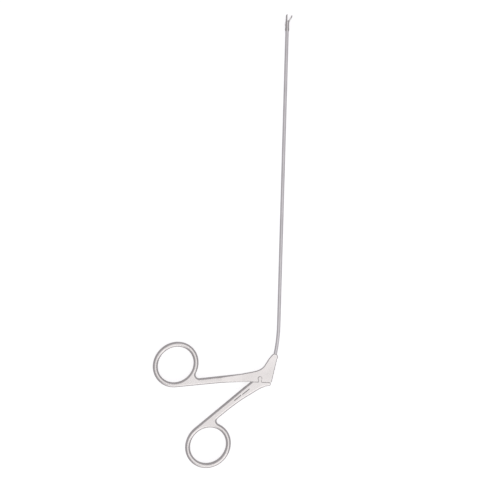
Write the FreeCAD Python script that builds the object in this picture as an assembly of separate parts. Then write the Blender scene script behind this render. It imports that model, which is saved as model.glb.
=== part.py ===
import FreeCAD, Part
import math
import os
from FreeCAD import Vector

# Microlaryngeal cup forceps, in millimetres.
# It lies flat: +Z is up from the table, +Y runs along the straight shaft to the jaws,
# and the origin is on the handle pivot's axis, on the underside of the joint.
# The thumb ring's handle carries the shaft. The finger ring's handle turns on it
# and pulls a rod in the tube, which closes the moving cup on the fixed one.

# Driving dimensions
handle_thickness = 4.6
ring_opening_length = 25.6
ring_opening_width = 22.8
ring_section = 3.3
ring_turn = 45.0
thumb_ring_x = -57.3
thumb_ring_y = 7.7
finger_ring_x = -33.9
finger_ring_y = -46.25
finger_edge_radius = 1.45
crotch_radius = 2.4

# Thumb handle: a full shank that thins to the joint plate and ends in the tube's nose
thumb_shank_top_x = -12.25
thumb_shank_top_y = 2.72
thumb_shank_slope = 7.66
thumb_shank_width = 4.55
thumb_edge_radius = 1.4
plate_thickness = 3.0
plate_below_pivot = 2.75
plate_corner_x = 5.42
plate_corner_y = 13.22
plate_heel_x = -5.9
plate_edge_radius = 0.6
plate_lead = 0.2
taper_length = 14.0
back_margin_top = 1.88
back_margin_bottom = 1.45
back_corner_height = 0.65
back_corner_run = 1.2
nose_radius = 2.25
plate_sweep = [(-3.32, 4.79), (1.41, 7.16), (3.75, 10.27)]

# Finger handle: a full shank whose head is forked over the plate, with two pivot ears
joint_line_left_x = -6.03
joint_line_left_y = -2.24
joint_line_right_x = 7.45
joint_line_right_y = -2.47
finger_shank_width = 4.9
finger_wrist_width = 5.1
finger_waist_width = 5.65
finger_throat_width = 6.8
finger_head_width = 7.85
finger_head_station = -2.0
finger_throat_station = 4.4
finger_waist_station = 12.6
finger_wrist_station = 21.0
finger_shank_station = 29.8
finger_nose_depth = 2.4
finger_nose_lean = 0.3
finger_nose_corner = 1.0
head_edge_radius = 0.5
ear_radius = 1.5
ear_neck_width = 2.2
ear_root_radius = 0.35
web_right_x = 2.6

# Pivot, drive pin and rod
pivot_pin_diameter = 1.4
drive_pin_diameter = 1.2
drive_pin_x = 6.15
drive_pin_y = -3.65
drive_pin_cover = 0.35
close_angle = 10.0
rod_diameter = 0.9
yoke_thickness = 1.6
yoke_wall = 0.45
yoke_neck_width = 1.7
yoke_neck_length = 2.4
rod_in_yoke = 1.9

# Shaft
tube_diameter = 2.3
tube_bore = 1.5
shaft_offset = 11.65
nose_y = 16.9
bend_radius = 112.0
bend_angle = 10.1
working_length = 230.0
socket_depth = 5.5

# Jaws
jaw_length = 5.45
jaw_open_angle = 32.0
jaw_pivot_offset = 0.55
jaw_pin_diameter = 0.7
jaw_hub_radius = 0.85
jaw_neck_length = 2.7
cam_pin_diameter = 0.45
cam_pin_below_pivot = 1.3
cam_slot_wall = 0.3
clevis_diameter = 2.85
clevis_length = 6.3
clevis_slot = 1.3
clevis_slot_depth = 4.05
clevis_nose_radius = 1.15
clevis_cone_length = 0.8
clevis_bore = 1.0
spigot_length = 3.0
cup_length = 3.7
cup_radius = 1.05
cup_wall = 0.25
neck_radius = 0.85

# Clearances
running_clearance = 0.04
side_clearance = 0.05
free_clearance = 0.2
rim_gap = 0.02

# The middle plane, how far cuts run past the metal, what counts as touching, and the cam slot's straight runs
middle_z = handle_thickness / 2
overrun = 1.0
touch = 0.001
cam_steps = 6

# The tube's axis: a straight base in the nose, one long bend, then straight along +Y
bend = math.radians(bend_angle)
base_direction = Vector(math.sin(bend), math.cos(bend), 0)
base_side = Vector(math.cos(bend), -math.sin(bend), 0)
base_point = Vector(shaft_offset - bend_radius * (1 - math.cos(bend)), nose_y, middle_z)
bend_centre = Vector(shaft_offset - bend_radius, nose_y + bend_radius * math.sin(bend), middle_z)
bend_top = Vector(shaft_offset, bend_centre.y, middle_z)
tube_end = base_point - base_direction * socket_depth
tip_y = nose_y + working_length
jaw_pivot = Vector(shaft_offset + jaw_pivot_offset, tip_y - jaw_length, middle_z)
clevis_y = jaw_pivot.y - clevis_length

# The rod's travel, from the drive pin's turn about the handle pivot
rod_line = base_point.dot(base_side)
drive_radius = math.hypot(drive_pin_x, drive_pin_y)
drive_start = -math.atan2(drive_pin_y, drive_pin_x) - bend
drive_end = drive_start + math.radians(close_angle)
travel = drive_radius * (math.sin(drive_end) - math.sin(drive_start))
pin_side_open = drive_radius * math.cos(drive_start) - rod_line
pin_side_closed = drive_radius * math.cos(drive_end) - rod_line


def at(x, y, z=0.0):
    return Vector(x, y, z)


def turned(point, degrees):
    angle = math.radians(degrees)
    return at(point.x * math.cos(angle) - point.y * math.sin(angle),
              point.x * math.sin(angle) + point.y * math.cos(angle))


def face_of(edges):
    return Part.Face(Part.Wire(edges))


def polygon(points):
    return Part.Face(Part.makePolygon(points + [points[0]]))


def slab(face, low, high):
    flat = face.copy()
    flat.translate(at(0, 0, low))
    return flat.extrude(at(0, 0, high - low))


def joined(first, *others):
    return first.fuse(list(others)).removeSplitter()


def post(centre, radius, low, high):
    return Part.makeCylinder(radius, high - low, at(centre.x, centre.y, low))


def bar(start, direction, length, radius):
    return Part.makeCylinder(radius, length, start, direction)


def capsule(start, end, radius, low, high):
    # A straight bar with round ends, seen from above
    start, end = at(start.x, start.y), at(end.x, end.y)
    along = end - start
    along.normalize()
    side = at(-along.y, along.x) * radius
    flat = polygon([start + side, end + side, end - side, start - side])
    return joined(slab(flat, low, high), post(start, radius, low, high), post(end, radius, low, high))


def ring_axes(grow):
    # Half the long and half the short width of a ring's opening, or of its outline
    return ring_opening_length / 2 + grow, ring_opening_width / 2 + grow


def oval(x, y, grow):
    half_length, half_width = ring_axes(grow)
    major = turned(at(half_length, 0), ring_turn)
    minor = turned(at(0, half_width), ring_turn)
    if half_width > half_length:
        major, minor = minor, major * -1
    centre = at(x, y)
    return face_of([Part.Ellipse(centre + major, centre + minor, centre).toShape()])


def ring_tangent(x, y, outside, side):
    # Where a line from a point touches a ring's outline; side is 1 or -1, left or right of the way there
    half_length, half_width = ring_axes(ring_section)
    away = turned(outside - at(x, y), -ring_turn)
    across, up = away.x / half_length, away.y / half_width
    angle = math.atan2(up, across) - side * math.acos(1 / math.hypot(across, up))
    return at(x, y) + turned(at(half_length * math.cos(angle), half_width * math.sin(angle)), ring_turn)


def upright_edges(solid, concave):
    # Corners of a slab's outline: concave ones have more than half a turn of metal round them
    probe = 0.05
    steps = 32
    margin = 0.06
    found = []
    box = solid.BoundBox
    height = (box.ZMin + box.ZMax) / 2
    for edge in solid.Edges:
        ends = [vertex.Point for vertex in edge.Vertexes]
        if len(ends) < 2 or abs(ends[0].z - ends[1].z) < box.ZLength / 2:
            continue
        inside = 0
        for step in range(steps):
            turn = 2 * math.pi * (step + 0.5) / steps
            spot = at(ends[0].x + probe * math.cos(turn), ends[0].y + probe * math.sin(turn), height)
            inside += solid.isInside(spot, 1e-6, True)
        if concave and inside > steps * (0.5 + margin):
            found.append(edge)
        if not concave and inside < steps * (0.5 - margin):
            found.append(edge)
    return found


def rim_edges(solid, low, high):
    # The edges all round a slab's bottom and top faces
    found = []
    for edge in solid.Edges:
        heights = [edge.valueAt(end).z for end in (edge.FirstParameter, edge.LastParameter)]
        middle = edge.valueAt((edge.FirstParameter + edge.LastParameter) / 2).z
        if any(max(abs(z - level) for z in heights + [middle]) < touch for level in (low, high)):
            found.append(edge)
    return found


def bow(x, y, shank):
    # A handle's ring with its shank, as a slab of full thickness
    ring = slab(oval(x, y, ring_section), 0, handle_thickness)
    hole = slab(oval(x, y, 0), -overrun, handle_thickness + overrun)
    solid = joined(ring, slab(shank, 0, handle_thickness)).cut(hole).Solids[0]
    crotch = [edge for edge in upright_edges(solid, True)
              if at(edge.Vertexes[0].X - x, edge.Vertexes[0].Y - y).Length < ring_opening_length]
    return solid.makeFillet(crotch_radius, crotch)


def thumb_lines():
    # Stations of the thumb shank: its top line, where the taper starts and ends, and the fork's corner
    top = at(thumb_shank_top_x, thumb_shank_top_y)
    along = turned(at(1, 0), thumb_shank_slope)
    across = at(along.y, -along.x)
    taper_top = top - along * taper_length
    taper_low = taper_top + across * thumb_shank_width
    corner = at(joint_line_left_x, joint_line_left_y)
    under = taper_low + (corner - taper_low) * ((taper_length - plate_lead) / (corner - taper_low).Length)
    return top, under, taper_top, taper_low


def thumb_shank():
    top, under, taper_top, taper_low = thumb_lines()
    along = turned(at(1, 0), thumb_shank_slope)
    start = top + along * (at(thumb_ring_x, thumb_ring_y) - top).dot(along)
    return polygon([start, taper_top, taper_low, ring_tangent(thumb_ring_x, thumb_ring_y, taper_low, 1)])


def end_wire(solid, low, high):
    # The rounded outline of a slab's end face, between two points of its outline
    middle = (low + high) / 2
    nearest = min(solid.Faces, key=lambda face: (face.CenterOfMass - at(middle.x, middle.y, middle_z)).Length)
    return nearest.OuterWire


def joint_plate():
    top, under, taper_top, taper_low = thumb_lines()
    corner = at(plate_corner_x, plate_corner_y)
    sweep = Part.BSplineCurve()
    sweep.interpolate([top] + [at(x, y) for x, y in plate_sweep] + [corner])
    tip = at(base_point.x, base_point.y)
    nose = tip - base_direction * nose_radius
    left = corner - nose
    turn = math.atan2(left.y, left.x) - math.acos(nose_radius / left.Length)
    nose_left = nose + at(math.cos(turn), math.sin(turn)) * nose_radius
    nose_drop = nose_radius + math.sqrt(nose_radius ** 2 - back_margin_top ** 2)
    back_top = tip - base_direction * nose_drop + base_side * back_margin_top
    back_drop = (nose_y + plate_below_pivot - back_corner_height) / base_direction.y
    back_low = tip - base_direction * back_drop + base_side * back_margin_bottom
    floor_right = at(back_low.x - back_corner_run, -plate_below_pivot)
    floor_left = at(plate_heel_x, -plate_below_pivot)
    fork_corner = at(joint_line_left_x, joint_line_left_y)
    heel = under + (fork_corner - under) * ((plate_heel_x - under.x) / (fork_corner.x - under.x))
    points = [back_top, back_low, floor_right, floor_left, heel, under, top]
    edges = [Part.makeLine(a, b) for a, b in zip(points, points[1:])]
    edges += [sweep.toShape(), Part.makeLine(corner, nose_left), Part.Arc(nose_left, tip, back_top).toShape()]
    low = middle_z - plate_thickness / 2
    high = middle_z + plate_thickness / 2
    solid = slab(face_of(edges), low, high)
    hidden = rims_along(solid, [back_low, floor_right, floor_left, heel], low, high)
    hidden += rims_along(solid, [under, top], low, high)
    skip = [edge.hashCode() for edge in hidden]
    shown = [edge for edge in rim_edges(solid, low, high) if edge.hashCode() not in skip]
    return solid.makeFillet(plate_edge_radius, shown)


def rims_along(solid, points, low, high):
    # The rim edges that run along the straight lines between the given points
    lines = [Part.makeLine(a, b) for a, b in zip(points, points[1:])]
    picked = []
    for edge in rim_edges(solid, low, high):
        middle = edge.valueAt((edge.FirstParameter + edge.LastParameter) / 2)
        middle.z = 0
        if min(line.distToShape(Part.Vertex(middle))[0] for line in lines) < touch:
            picked.append(edge)
    return picked


def rod_slit():
    # A saw cut in the plate's back margin, below the tube's end, that the rod and its yoke run in
    top = at(tube_end.x, tube_end.y)
    inner = base_side * (pin_side_closed - yoke_reach() - free_clearance)
    outer = base_side * (nose_radius * 2)
    down = base_direction * -(top.y + plate_below_pivot + overrun * 3)
    half = yoke_thickness / 2 + side_clearance
    return slab(polygon([top + inner, top + outer, top + outer + down, top + inner + down]),
                middle_z - half, middle_z + half)


def yoke_reach():
    return drive_pin_diameter / 2 + running_clearance + yoke_wall


def thumb_ring_handle():
    solid = bow(thumb_ring_x, thumb_ring_y, thumb_shank())
    top, under, taper_top, taper_low = thumb_lines()
    end = [edge.hashCode() for edge in rims_along(solid, [taper_top, taper_low], 0, handle_thickness)]
    rims = [edge for edge in rim_edges(solid, 0, handle_thickness) if edge.hashCode() not in end]
    solid = solid.makeFillet(thumb_edge_radius, rims)
    plate = joint_plate()
    taper = Part.makeLoft([end_wire(solid, taper_top, taper_low), end_wire(plate, top, under)], True, True)
    solid = joined(solid, taper, plate)
    socket = bar(tube_end, base_direction, socket_depth + overrun, tube_diameter / 2)
    pivot_bore = post(at(0, 0), pivot_pin_diameter / 2 + running_clearance, 0, handle_thickness)
    return solid.cut([rod_slit(), socket, pivot_bore])


def fork_slot():
    # Room in the finger handle's head for the plate at rest and closed, and for the yoke
    floor = plate_below_pivot + free_clearance
    top, under, taper_top, taper_low = thumb_lines()
    heel_way = taper_low - under
    swept = math.degrees(math.atan2(heel_way.y, heel_way.x)) + close_angle
    away = turned(at(1, 0), swept)
    foot = at(-away.y, away.x) * floor
    far = finger_head_width * 2
    points = [foot + away * far, foot, at(web_right_x, -floor), at(web_right_x, -far), at(far, -far),
              at(far, far), at(-far, far)]
    half = plate_thickness / 2 + side_clearance
    return slab(polygon(points), middle_z - half, middle_z + half)


def finger_shank():
    corner = at(joint_line_left_x, joint_line_left_y)
    touching = ring_tangent(finger_ring_x, finger_ring_y, corner, -1)
    along = touching - corner
    inner_length = along.Length
    along.normalize()
    across = at(-along.y, along.x)
    nose_top = at(joint_line_right_x, joint_line_right_y)
    nose_low = nose_top + at(-finger_nose_lean, -finger_nose_depth)
    stations = [(finger_head_station, finger_head_width), (finger_throat_station, finger_throat_width),
                (finger_waist_station, finger_waist_width), (finger_wrist_station, finger_wrist_width),
                (finger_shank_station, finger_shank_width)]
    back = [corner + along * far + across * width for far, width in stations]
    sunk = inner_length - ring_opening_width / 2 + ring_section / 2
    root = corner + along * sunk + across * finger_shank_width
    inside = corner + along * inner_length + across * (ring_section / 2)
    outer = Part.BSplineCurve()
    outer.interpolate([nose_low] + back)
    lines = [[corner, nose_top], [nose_top, nose_low], [back[-1], root], [root, inside], [inside, touching],
             [touching, corner]]
    edges = [Part.makeLine(a, b) for a, b in lines]
    return face_of(edges[:2] + [outer.toShape()] + edges[2:])


def pivot_ear():
    neck = ear_neck_width / 2
    low = joint_line_right_y - overrun
    box = slab(polygon([at(-neck, low), at(neck, low), at(neck, 0), at(-neck, 0)]), 0, handle_thickness)
    return post(at(0, 0), ear_radius, 0, handle_thickness).fuse(box)


def in_head(edge):
    # Rims of the ears, the joint line and the short end beside it, which are only eased
    middle = edge.valueAt((edge.FirstParameter + edge.LastParameter) / 2)
    return middle.x > joint_line_left_x and middle.y > joint_line_right_y - finger_nose_depth


def finger_ring_handle():
    solid = bow(finger_ring_x, finger_ring_y, finger_shank())
    solid = joined(solid, pivot_ear())
    root = [edge for edge in upright_edges(solid, True)
            if at(edge.Vertexes[0].X, edge.Vertexes[0].Y).Length < ear_radius * 2]
    solid = solid.makeFillet(ear_root_radius, root)
    nose_top = at(joint_line_right_x, joint_line_right_y)
    corner = [edge for edge in upright_edges(solid, False)
              if (at(edge.Vertexes[0].X, edge.Vertexes[0].Y) - nose_top).Length < touch]
    solid = solid.makeFillet(finger_nose_corner, corner)
    solid = solid.makeFillet(finger_edge_radius, [edge for edge in rim_edges(solid, 0, handle_thickness)
                                                  if not in_head(edge)])
    solid = solid.makeFillet(head_edge_radius, [edge for edge in rim_edges(solid, 0, handle_thickness)
                                                if in_head(edge)])
    pivot_bore = post(at(0, 0), pivot_pin_diameter / 2, -overrun, handle_thickness + overrun)
    drive_bore = post(at(drive_pin_x, drive_pin_y), drive_pin_diameter / 2, drive_pin_cover,
                      handle_thickness - drive_pin_cover)
    return solid.cut([fork_slot(), pivot_bore, drive_bore])


def handle_pivot_pin():
    return post(at(0, 0), pivot_pin_diameter / 2, 0, handle_thickness)


def drive_pin():
    return post(at(drive_pin_x, drive_pin_y), drive_pin_diameter / 2, drive_pin_cover,
                handle_thickness - drive_pin_cover)


def yoke_centre():
    # On the rod's axis, abreast of the drive pin
    pin = at(drive_pin_x, drive_pin_y, middle_z)
    return pin - base_side * pin_side_open


def rod_end_yoke():
    # A flat eye on the rod's end; its slot lies across the rod and takes the pin's sideways drift
    centre = yoke_centre()
    low = middle_z - yoke_thickness / 2
    high = middle_z + yoke_thickness / 2
    inner = centre + base_side * pin_side_closed
    outer = centre + base_side * pin_side_open
    body = capsule(inner, outer, yoke_reach(), low, high)
    half = base_side * (yoke_neck_width / 2)
    top = centre + base_direction * (yoke_reach() + yoke_neck_length)
    neck = slab(polygon([at(p.x, p.y) for p in (centre - half, centre + half, top + half, top - half)]), low, high)
    slot = capsule(inner, outer, drive_pin_diameter / 2 + running_clearance, low - overrun, high + overrun)
    bore = bar(top - base_direction * rod_in_yoke, base_direction, rod_in_yoke + overrun, rod_diameter / 2)
    return joined(body, neck).cut([slot, bore])


def pull_rod_rear():
    start = yoke_centre() + base_direction * (yoke_reach() + yoke_neck_length - rod_in_yoke)
    return bar(start, base_direction, (base_point - start).Length, rod_diameter / 2)


def pull_wire_bend():
    circle = Part.Circle(bend_top, at(0, 1, 0), rod_diameter / 2)
    return face_of([circle.toShape()]).revolve(bend_centre, at(0, 0, 1), -bend_angle)


def cam_pin_place():
    return at(shaft_offset, jaw_pivot.y - cam_pin_below_pivot)


def pull_rod_front():
    # Round in the tube, then filed to half its thickness beside the jaw's tail
    end = cam_pin_place()
    reach = rod_diameter / 2
    rod = bar(bend_top, at(0, 1, 0), end.y - bend_top.y, reach)
    tip = bar(at(end.x, end.y, middle_z), at(0, 1, 0), reach, reach)
    tip = tip.common(post(end, reach, 0, handle_thickness))
    flat_start = jaw_pivot.y - clevis_slot_depth + travel + free_clearance
    half = polygon([at(end.x - reach * 2, flat_start), at(end.x + reach * 2, flat_start),
                    at(end.x + reach * 2, end.y + reach * 2), at(end.x - reach * 2, end.y + reach * 2)])
    lower = slab(half, 0, middle_z + rim_gap)
    return joined(rod, tip).cut([lower, post(end, cam_pin_diameter / 2, 0, handle_thickness)])


def cam_pin():
    end = cam_pin_place()
    return post(end, cam_pin_diameter / 2, middle_z - jaw_tail_depth(), middle_z + rod_diameter / 2)


def jaw_tail_depth():
    return clevis_slot / 2 - side_clearance


def shaft_tube():
    def solid(radius):
        circle = Part.Circle(bend_top, at(0, 1, 0), radius)
        arc = face_of([circle.toShape()]).revolve(bend_centre, at(0, 0, 1), -bend_angle)
        return joined(bar(tube_end, base_direction, socket_depth, radius), arc,
                      bar(bend_top, at(0, 1, 0), clevis_y - bend_top.y, radius))

    return solid(tube_diameter / 2).cut(solid(tube_bore / 2))


def bean(centre, half_length, radius):
    # A long round body about the shaft's direction
    ellipse = Part.Ellipse(centre + at(0, half_length, 0), centre + at(radius, 0, 0), centre)
    arc = Part.ArcOfEllipse(ellipse, 0, math.pi).toShape()
    ends = [arc.Vertexes[0].Point, arc.Vertexes[-1].Point]
    return face_of([arc, Part.makeLine(ends[1], ends[0])]).revolve(centre, at(0, 1, 0), 360)


def cup_centre():
    return at(shaft_offset, tip_y - cup_length / 2, middle_z)


def cup_solid():
    return bean(cup_centre(), cup_length / 2, cup_radius)


def cup_hollow():
    return bean(cup_centre(), cup_length / 2 - cup_wall, cup_radius - cup_wall)


def side_block(low_y, gap, side):
    # All on one side of the closed jaws' meeting plane, from a height up the shaft
    reach = clevis_diameter * 2
    x = shaft_offset + side * gap
    corners = [at(x, low_y), at(x + side * reach, low_y), at(x + side * reach, tip_y + reach), at(x, tip_y + reach)]
    return slab(polygon(corners), middle_z - reach, middle_z + reach)


def fixed_cup_jaw():
    # One piece: spigot in the tube, clevis, and the fixed cup
    axis = at(0, 1, 0)
    foot = at(shaft_offset, clevis_y, middle_z)
    spigot = bar(foot - axis * spigot_length, axis, spigot_length, tube_bore / 2)
    cone = Part.makeCone(tube_diameter / 2, clevis_diameter / 2, clevis_cone_length, foot, axis)
    body_start = foot + axis * clevis_cone_length
    body = bar(body_start, axis, jaw_pivot.y - body_start.y, clevis_diameter / 2)
    nose = bar(foot + axis * (jaw_pivot.y - foot.y), axis, clevis_nose_radius, clevis_diameter / 2)
    nose = nose.common(post(jaw_pivot, clevis_nose_radius, 0, handle_thickness))
    neck_length = cup_centre().y - jaw_pivot.y
    neck = Part.makeCone(clevis_diameter / 2, neck_radius, neck_length, at(shaft_offset, jaw_pivot.y, middle_z), axis)
    arm = joined(neck, cup_solid()).common(side_block(jaw_pivot.y - overrun, rim_gap / 2, -1))
    solid = joined(spigot, cone, body, nose, arm)
    half = clevis_slot / 2
    reach = clevis_diameter
    slot_low = jaw_pivot.y - clevis_slot_depth
    slot_high = jaw_pivot.y + clevis_nose_radius + free_clearance
    gap = polygon([at(shaft_offset - reach, slot_low), at(shaft_offset + reach, slot_low),
                   at(shaft_offset + reach, slot_high), at(shaft_offset - reach, slot_high)])
    bore = bar(foot - axis * (spigot_length + overrun), axis, spigot_length + overrun + slot_low - foot.y + overrun,
               clevis_bore / 2)
    pin = post(jaw_pivot, jaw_pin_diameter / 2, 0, handle_thickness)
    return solid.cut([slab(gap, middle_z - half, middle_z + half), bore, pin, cup_hollow()])


def jaw_pivot_pin():
    pin = post(jaw_pivot, jaw_pin_diameter / 2, 0, handle_thickness)
    return pin.common(bar(at(shaft_offset, clevis_y, middle_z), at(0, 1, 0), clevis_length * 2, clevis_diameter / 2))


def cam_path(count):
    # Where the rod's pin lies in the closed jaw's frame while the jaw turns in step with the rod
    points = []
    for step in range(count + 1):
        share = step / count
        offset = at(-jaw_pivot_offset, -cam_pin_below_pivot - travel * share)
        points.append(at(jaw_pivot.x, jaw_pivot.y) + turned(offset, jaw_open_angle * (1 - share)))
    return points


def moving_cup_jaw():
    # Modelled closed, then opened about its pivot
    depth = jaw_tail_depth()
    low, high = middle_z - depth, middle_z + depth
    pivot = at(jaw_pivot.x, jaw_pivot.y)
    path = cam_path(cam_steps)
    slot_half = cam_pin_diameter / 2 + running_clearance
    tail_half = slot_half + cam_slot_wall
    tail_top = middle_z - rim_gap
    pieces = [capsule(a, b, tail_half, low, tail_top) for a, b in zip(path, path[1:])]
    pieces += [capsule(pivot, path[stop], tail_half, low, tail_top) for stop in (0, cam_steps // 2)]
    pieces.append(post(pivot, jaw_hub_radius, low, high))
    neck_top = pivot.y + jaw_neck_length
    neck = polygon([pivot, at(pivot.x + jaw_hub_radius, pivot.y), at(shaft_offset + neck_radius, neck_top),
                    at(shaft_offset + rim_gap / 2, neck_top), at(shaft_offset + rim_gap / 2, pivot.y)])
    pieces.append(slab(neck, low, high))
    pieces.append(cup_solid().common(side_block(pivot.y, rim_gap / 2, 1)))
    solid = joined(*pieces)
    cuts = [capsule(a, b, slot_half, low - overrun, tail_top + overrun) for a, b in zip(path, path[1:])]
    bore = post(pivot, jaw_pin_diameter / 2 + running_clearance, 0, handle_thickness)
    solid = solid.cut(cuts + [bore, cup_hollow()])
    solid.rotate(jaw_pivot, at(0, 0, 1), -jaw_open_angle)
    return solid


nodes = {
    "thumb_ring_handle": thumb_ring_handle,
    "finger_ring_handle": finger_ring_handle,
    "handle_pivot_pin": handle_pivot_pin,
    "drive_pin": drive_pin,
    "rod_end_yoke": rod_end_yoke,
    "pull_rod_rear": pull_rod_rear,
    "pull_wire_bend": pull_wire_bend,
    "pull_rod_front": pull_rod_front,
    "cam_pin": cam_pin,
    "shaft_tube": shaft_tube,
    "fixed_cup_jaw": fixed_cup_jaw,
    "jaw_pivot_pin": jaw_pivot_pin,
    "moving_cup_jaw": moving_cup_jaw,
}

if __name__ == "__main__":
    os.makedirs("parts", exist_ok=True)
    for name, make in nodes.items():
        solids = make().Solids
        if len(solids) != 1:
            raise ValueError(name + " came out as " + str(len(solids)) + " solids")
        shape = solids[0]
        print(name, "valid" if shape.isValid() else "NOT VALID", round(shape.Volume, 3))
        shape.exportStep("parts/" + name + ".step")
    print("rod travel", travel, "mm for", close_angle, "degrees")
    print("slide ratio", travel / 1000 / math.radians(close_angle), "bend ratio",
          travel / bend_radius / math.radians(close_angle), "jaw ratio", jaw_open_angle / close_angle)
    print("jaw pivot", jaw_pivot, "bend centre", bend_centre, "rod direction", base_direction)
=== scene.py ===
import bpy
import math
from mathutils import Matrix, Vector


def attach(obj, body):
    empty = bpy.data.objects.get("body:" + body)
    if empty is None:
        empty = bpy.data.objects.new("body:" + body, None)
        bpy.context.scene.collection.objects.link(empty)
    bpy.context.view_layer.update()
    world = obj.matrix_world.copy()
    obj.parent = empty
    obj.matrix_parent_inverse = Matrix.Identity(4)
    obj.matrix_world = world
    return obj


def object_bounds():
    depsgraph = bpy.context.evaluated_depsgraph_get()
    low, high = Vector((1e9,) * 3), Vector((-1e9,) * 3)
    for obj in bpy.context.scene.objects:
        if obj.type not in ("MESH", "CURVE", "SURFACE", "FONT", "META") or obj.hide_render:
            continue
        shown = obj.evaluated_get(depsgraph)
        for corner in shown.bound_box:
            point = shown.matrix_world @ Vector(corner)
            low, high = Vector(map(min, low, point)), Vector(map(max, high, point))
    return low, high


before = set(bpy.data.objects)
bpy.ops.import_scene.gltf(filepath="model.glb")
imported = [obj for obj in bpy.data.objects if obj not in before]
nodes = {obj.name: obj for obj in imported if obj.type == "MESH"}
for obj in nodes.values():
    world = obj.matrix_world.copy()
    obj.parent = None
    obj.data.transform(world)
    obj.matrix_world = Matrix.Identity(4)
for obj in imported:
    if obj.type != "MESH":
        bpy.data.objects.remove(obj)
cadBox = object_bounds()
topFace = cadBox[1][2]    # height of the handles' upper face
print("frame loaded:", len(nodes), "nodes")


def clearSelection():
    bpy.ops.object.select_all(action="DESELECT")


def makeActive(piece):
    clearSelection()
    piece.select_set(True)
    bpy.context.view_layer.objects.active = piece


def settle(piece, name):
    # name it and put its place into the mesh
    makeActive(piece)
    bpy.ops.object.transform_apply(location=True, rotation=True, scale=True)
    piece.name = name
    piece.data.name = name


def newMaterial(name):
    material = bpy.data.materials.new(name)
    material.use_nodes = True
    material.node_tree.nodes.clear()
    return material, material.node_tree.nodes, material.node_tree.links


def addNode(tree, kind, x, y):
    node = tree.new(kind)
    node.location = (x, y)
    return node


# what all the steels share: where the tint and the gloss change over, and how fine and how deep the grain is
steelSet = {"metallic": 1.0, "tintFrom": 0.35, "tintTo": 0.65, "grainFrom": 0.3, "grainTo": 0.7,
            "cloudDetail": 3.0, "grainDetail": 4.0, "grainDepth": 0.00002}


def satinSteel(name, look):
    # bare stainless steel: a fine satin grain over a slightly cloudy tint
    material, tree, links = newMaterial(name)
    output = addNode(tree, "ShaderNodeOutputMaterial", 900, 0)
    shader = addNode(tree, "ShaderNodeBsdfPrincipled", 600, 0)
    links.new(shader.outputs["BSDF"], output.inputs["Surface"])
    shader.inputs["Metallic"].default_value = steelSet["metallic"]
    coords = addNode(tree, "ShaderNodeTexCoord", -1100, 0)

    clouds = addNode(tree, "ShaderNodeTexNoise", -700, 200)
    clouds.inputs["Scale"].default_value = look["cloudScale"]
    clouds.inputs["Detail"].default_value = steelSet["cloudDetail"]
    links.new(coords.outputs["Object"], clouds.inputs["Vector"])
    tint = addNode(tree, "ShaderNodeValToRGB", -400, 250)
    tint.color_ramp.elements[0].position = steelSet["tintFrom"]
    tint.color_ramp.elements[0].color = (*look["dark"], 1)
    tint.color_ramp.elements[1].position = steelSet["tintTo"]
    tint.color_ramp.elements[1].color = (*look["light"], 1)
    links.new(clouds.outputs["Fac"], tint.inputs["Fac"])
    links.new(tint.outputs["Color"], shader.inputs["Base Color"])

    grainMap = addNode(tree, "ShaderNodeMapping", -900, -200)
    grainMap.inputs["Scale"].default_value = look["grainScale"]
    links.new(coords.outputs["Object"], grainMap.inputs["Vector"])
    grain = addNode(tree, "ShaderNodeTexNoise", -700, -200)
    grain.inputs["Scale"].default_value = 1.0    # grainMap alone sets how fine the grain is
    grain.inputs["Detail"].default_value = steelSet["grainDetail"]
    links.new(grainMap.outputs["Vector"], grain.inputs["Vector"])
    gloss = addNode(tree, "ShaderNodeMapRange", -400, -50)
    gloss.inputs["From Min"].default_value = steelSet["grainFrom"]
    gloss.inputs["From Max"].default_value = steelSet["grainTo"]
    gloss.inputs["To Min"].default_value = look["smooth"]
    gloss.inputs["To Max"].default_value = look["rough"]
    links.new(grain.outputs["Fac"], gloss.inputs["Value"])
    links.new(gloss.outputs["Result"], shader.inputs["Roughness"])

    bump = addNode(tree, "ShaderNodeBump", 100, -300)
    bump.inputs["Strength"].default_value = look["bump"]
    bump.inputs["Distance"].default_value = steelSet["grainDepth"]
    links.new(grain.outputs["Fac"], bump.inputs["Height"])
    links.new(bump.outputs["Normal"], shader.inputs["Normal"])
    return material


# the tube's grain is drawn out along it; the other steels have the same grain in every direction
handleLook = {"dark": (0.68, 0.652, 0.635), "light": (0.74, 0.712, 0.695), "smooth": 0.2, "rough": 0.28,
              "cloudScale": 60.0, "grainScale": (3200, 3200, 3200), "bump": 0.25}
tubeLook = {"dark": (0.75, 0.732, 0.735), "light": (0.82, 0.80, 0.804), "smooth": 0.48, "rough": 0.60,
            "cloudScale": 90.0, "grainScale": (6000, 500, 6000), "bump": 0.2}
jawLook = {"dark": (0.58, 0.557, 0.547), "light": (0.66, 0.635, 0.625), "smooth": 0.28, "rough": 0.40,
           "cloudScale": 400.0, "grainScale": (5000, 5000, 5000), "bump": 0.15}
pinLook = {"dark": (0.62, 0.60, 0.59), "light": (0.70, 0.68, 0.67), "smooth": 0.2, "rough": 0.3,
           "cloudScale": 500.0, "grainScale": (5000, 5000, 5000), "bump": 0.1}
markLook = {"dark": (0.27, 0.262, 0.256), "light": (0.33, 0.32, 0.313), "smooth": 0.4, "rough": 0.55,
            "cloudScale": 700.0, "grainScale": (9000, 9000, 9000), "bump": 0.3}

handleSteel = satinSteel("satinHandleSteel", handleLook)
tubeSteel = satinSteel("drawnTubeSteel", tubeLook)
jawSteel = satinSteel("polishedJawSteel", jawLook)
pinSteel = satinSteel("groundPinSteel", pinLook)
etchedSteel = satinSteel("etchedMarkSteel", markLook)

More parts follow.
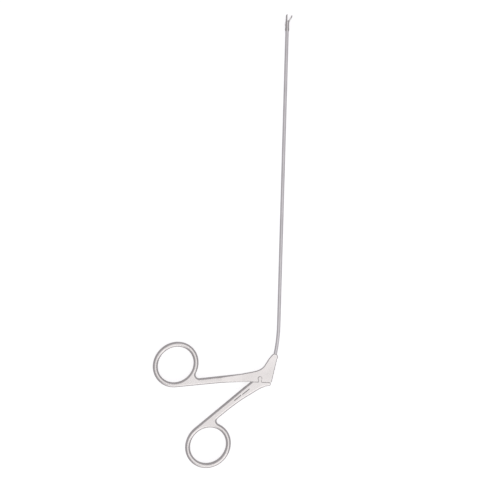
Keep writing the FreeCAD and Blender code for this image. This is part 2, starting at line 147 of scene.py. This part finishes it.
finishes = {
    "thumb_ring_handle": handleSteel,
    "finger_ring_handle": handleSteel,
    "handle_pivot_pin": handleSteel,    # filed flush and finished with the ears
    "drive_pin": pinSteel,
    "rod_end_yoke": pinSteel,
    "pull_rod_rear": pinSteel,
    "pull_wire_bend": pinSteel,
    "pull_rod_front": pinSteel,
    "cam_pin": pinSteel,
    "shaft_tube": tubeSteel,
    "fixed_cup_jaw": jawSteel,
    "jaw_pivot_pin": jawSteel,    # ground flush with the clevis and polished with it
    "moving_cup_jaw": jawSteel,
}
for nodeName, finish in finishes.items():
    for holder in nodes[nodeName].material_slots:
        holder.material = finish
print("steel finishes on the CAD nodes")

# two short etched strokes along the finger shank, on its upper face and just proud of it so that they show;
# roundShare is a little under half of the width, which makes the ends round
strokeSet = {"proud": 0.00001, "sunk": 0.0001, "width": 0.00062, "roundShare": 0.49, "roundSteps": 6,
             "ends": {"etchedStrokeLow": ((-0.01700, -0.01553), (-0.01238, -0.01148)),
                      "etchedStrokeHigh": ((-0.01164, -0.01119), (-0.00683, -0.00713))}}


def etchedStroke(name, start, end):
    along = Vector(end) - Vector(start)
    middle = (Vector(start) + Vector(end)) / 2
    height = strokeSet["proud"] + strokeSet["sunk"]
    clearSelection()
    bpy.ops.mesh.primitive_cube_add(
        size=1, location=(middle.x, middle.y, topFace + strokeSet["proud"] - height / 2),
        rotation=(0, 0, math.atan2(along.y, along.x)), scale=(along.length, strokeSet["width"], height))
    stroke = bpy.context.active_object
    settle(stroke, name)

    # the four upright edges are rounded
    bpy.context.tool_settings.mesh_select_mode = (False, True, False)
    bpy.ops.object.mode_set(mode="EDIT")
    bpy.ops.mesh.select_all(action="DESELECT")
    bpy.ops.object.mode_set(mode="OBJECT")
    points = stroke.data.vertices
    for edge in stroke.data.edges:
        edge.select = abs(points[edge.vertices[0]].co.z - points[edge.vertices[1]].co.z) > height / 2
    bpy.ops.object.mode_set(mode="EDIT")
    roundOff = strokeSet["width"] * strokeSet["roundShare"]
    bpy.ops.mesh.bevel(offset=roundOff, segments=strokeSet["roundSteps"], affect="EDGES")
    bpy.ops.object.mode_set(mode="OBJECT")
    stroke.data.materials.append(etchedSteel)
    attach(stroke, "finger_lever")


for strokeName, (start, end) in strokeSet["ends"].items():
    etchedStroke(strokeName, start, end)
print("etched strokes on the finger shank")

floorSet = {"size": 6.0, "place": (0, 0.09, -0.0002), "colour": (0.93, 0.93, 0.93, 1), "roughness": 0.8,
            "glow": 0.43, "glowColour": (1, 1, 1, 1)}
clearSelection()
bpy.ops.mesh.primitive_plane_add(size=floorSet["size"], location=floorSet["place"])
floor = bpy.context.active_object
settle(floor, "paleFloor")
floorMaterial, floorTree, floorLinks = newMaterial("paleFloor")
floorOut = addNode(floorTree, "ShaderNodeOutputMaterial", 300, 0)
floorShader = addNode(floorTree, "ShaderNodeBsdfPrincipled", 0, 0)
floorShader.inputs["Base Color"].default_value = floorSet["colour"]
floorShader.inputs["Roughness"].default_value = floorSet["roughness"]
floorShader.inputs["Emission Color"].default_value = floorSet["glowColour"]
floorShader.inputs["Emission Strength"].default_value = floorSet["glow"]
floorLinks.new(floorShader.outputs["BSDF"], floorOut.inputs["Surface"])
floor.data.materials.append(floorMaterial)
# out of the steel's sight, so that its edges mirror the dim studio and come out dark, as in the photo
floor.visible_glossy = False

# a box's brightness is what a mirror shows of it, and 1 is paper white; the boxes leave no shadow
# on the paper, because the photo shows none
overheadSet = {"place": (0.40, 0.0, 1.9), "aim": (0.10, 0.05, 0), "width": 1.9, "height": 1.3,
               "brightness": 0.77, "shadow": False}
frontHighSet = {"place": (0.35, -1.13, 1.24), "aim": (0, 0.05, 0), "width": 2.1, "height": 1.0,
                "brightness": 0.95, "shadow": False}
frontLowSet = {"place": (0.48, -1.59, 0.53), "aim": (0, 0.05, 0), "width": 2.1, "height": 0.7,
               "brightness": 0.6, "shadow": False}    # dimmer, so the flats don't glare from low down behind
studioSet = {"colour": (0.80, 0.78, 0.82, 1), "brightness": 0.57}


def softbox(name, look):
    light = bpy.data.lights.new(name, "AREA")
    light.shape = "RECTANGLE"
    light.size = look["width"]
    light.size_y = look["height"]
    light.energy = look["brightness"] * math.pi * look["width"] * look["height"]
    light.use_shadow = look["shadow"]
    lamp = bpy.data.objects.new(name, light)
    bpy.context.collection.objects.link(lamp)
    lamp.location = look["place"]
    lamp.rotation_euler = (Vector(look["aim"]) - Vector(look["place"])).to_track_quat("-Z", "Y").to_euler()


softbox("overheadBox", overheadSet)
softbox("frontBoxHigh", frontHighSet)
softbox("frontBoxLow", frontLowSet)
world = bpy.data.worlds.new("studio")
bpy.context.scene.world = world
world.use_nodes = True
world.node_tree.nodes["Background"].inputs["Color"].default_value = studioSet["colour"]
world.node_tree.nodes["Background"].inputs["Strength"].default_value = studioSet["brightness"]

# straight above the forceps and turned as the photo is; distance is measured from the handles' upper face,
# and width is what the picture takes in there
cameraSet = {"turn": math.radians(1.6245), "centre": (-0.011644, 0.088891), "distance": 1.2,
             "width": 0.33302, "sensor": 36.0, "near": 0.01, "far": 20}
camera = bpy.data.objects.new("photoCamera", bpy.data.cameras.new("photoCamera"))
bpy.context.collection.objects.link(camera)
camera.location = (*cameraSet["centre"], cameraSet["distance"] + topFace)
camera.rotation_euler = (0, 0, cameraSet["turn"])
camera.data.sensor_width = cameraSet["sensor"]
camera.data.lens = cameraSet["sensor"] * cameraSet["distance"] / cameraSet["width"]
camera.data.clip_start = cameraSet["near"]
camera.data.clip_end = cameraSet["far"]
bpy.context.scene.camera = camera
bpy.context.scene.view_settings.view_transform = "Standard"
print("floor, lights and camera ready")
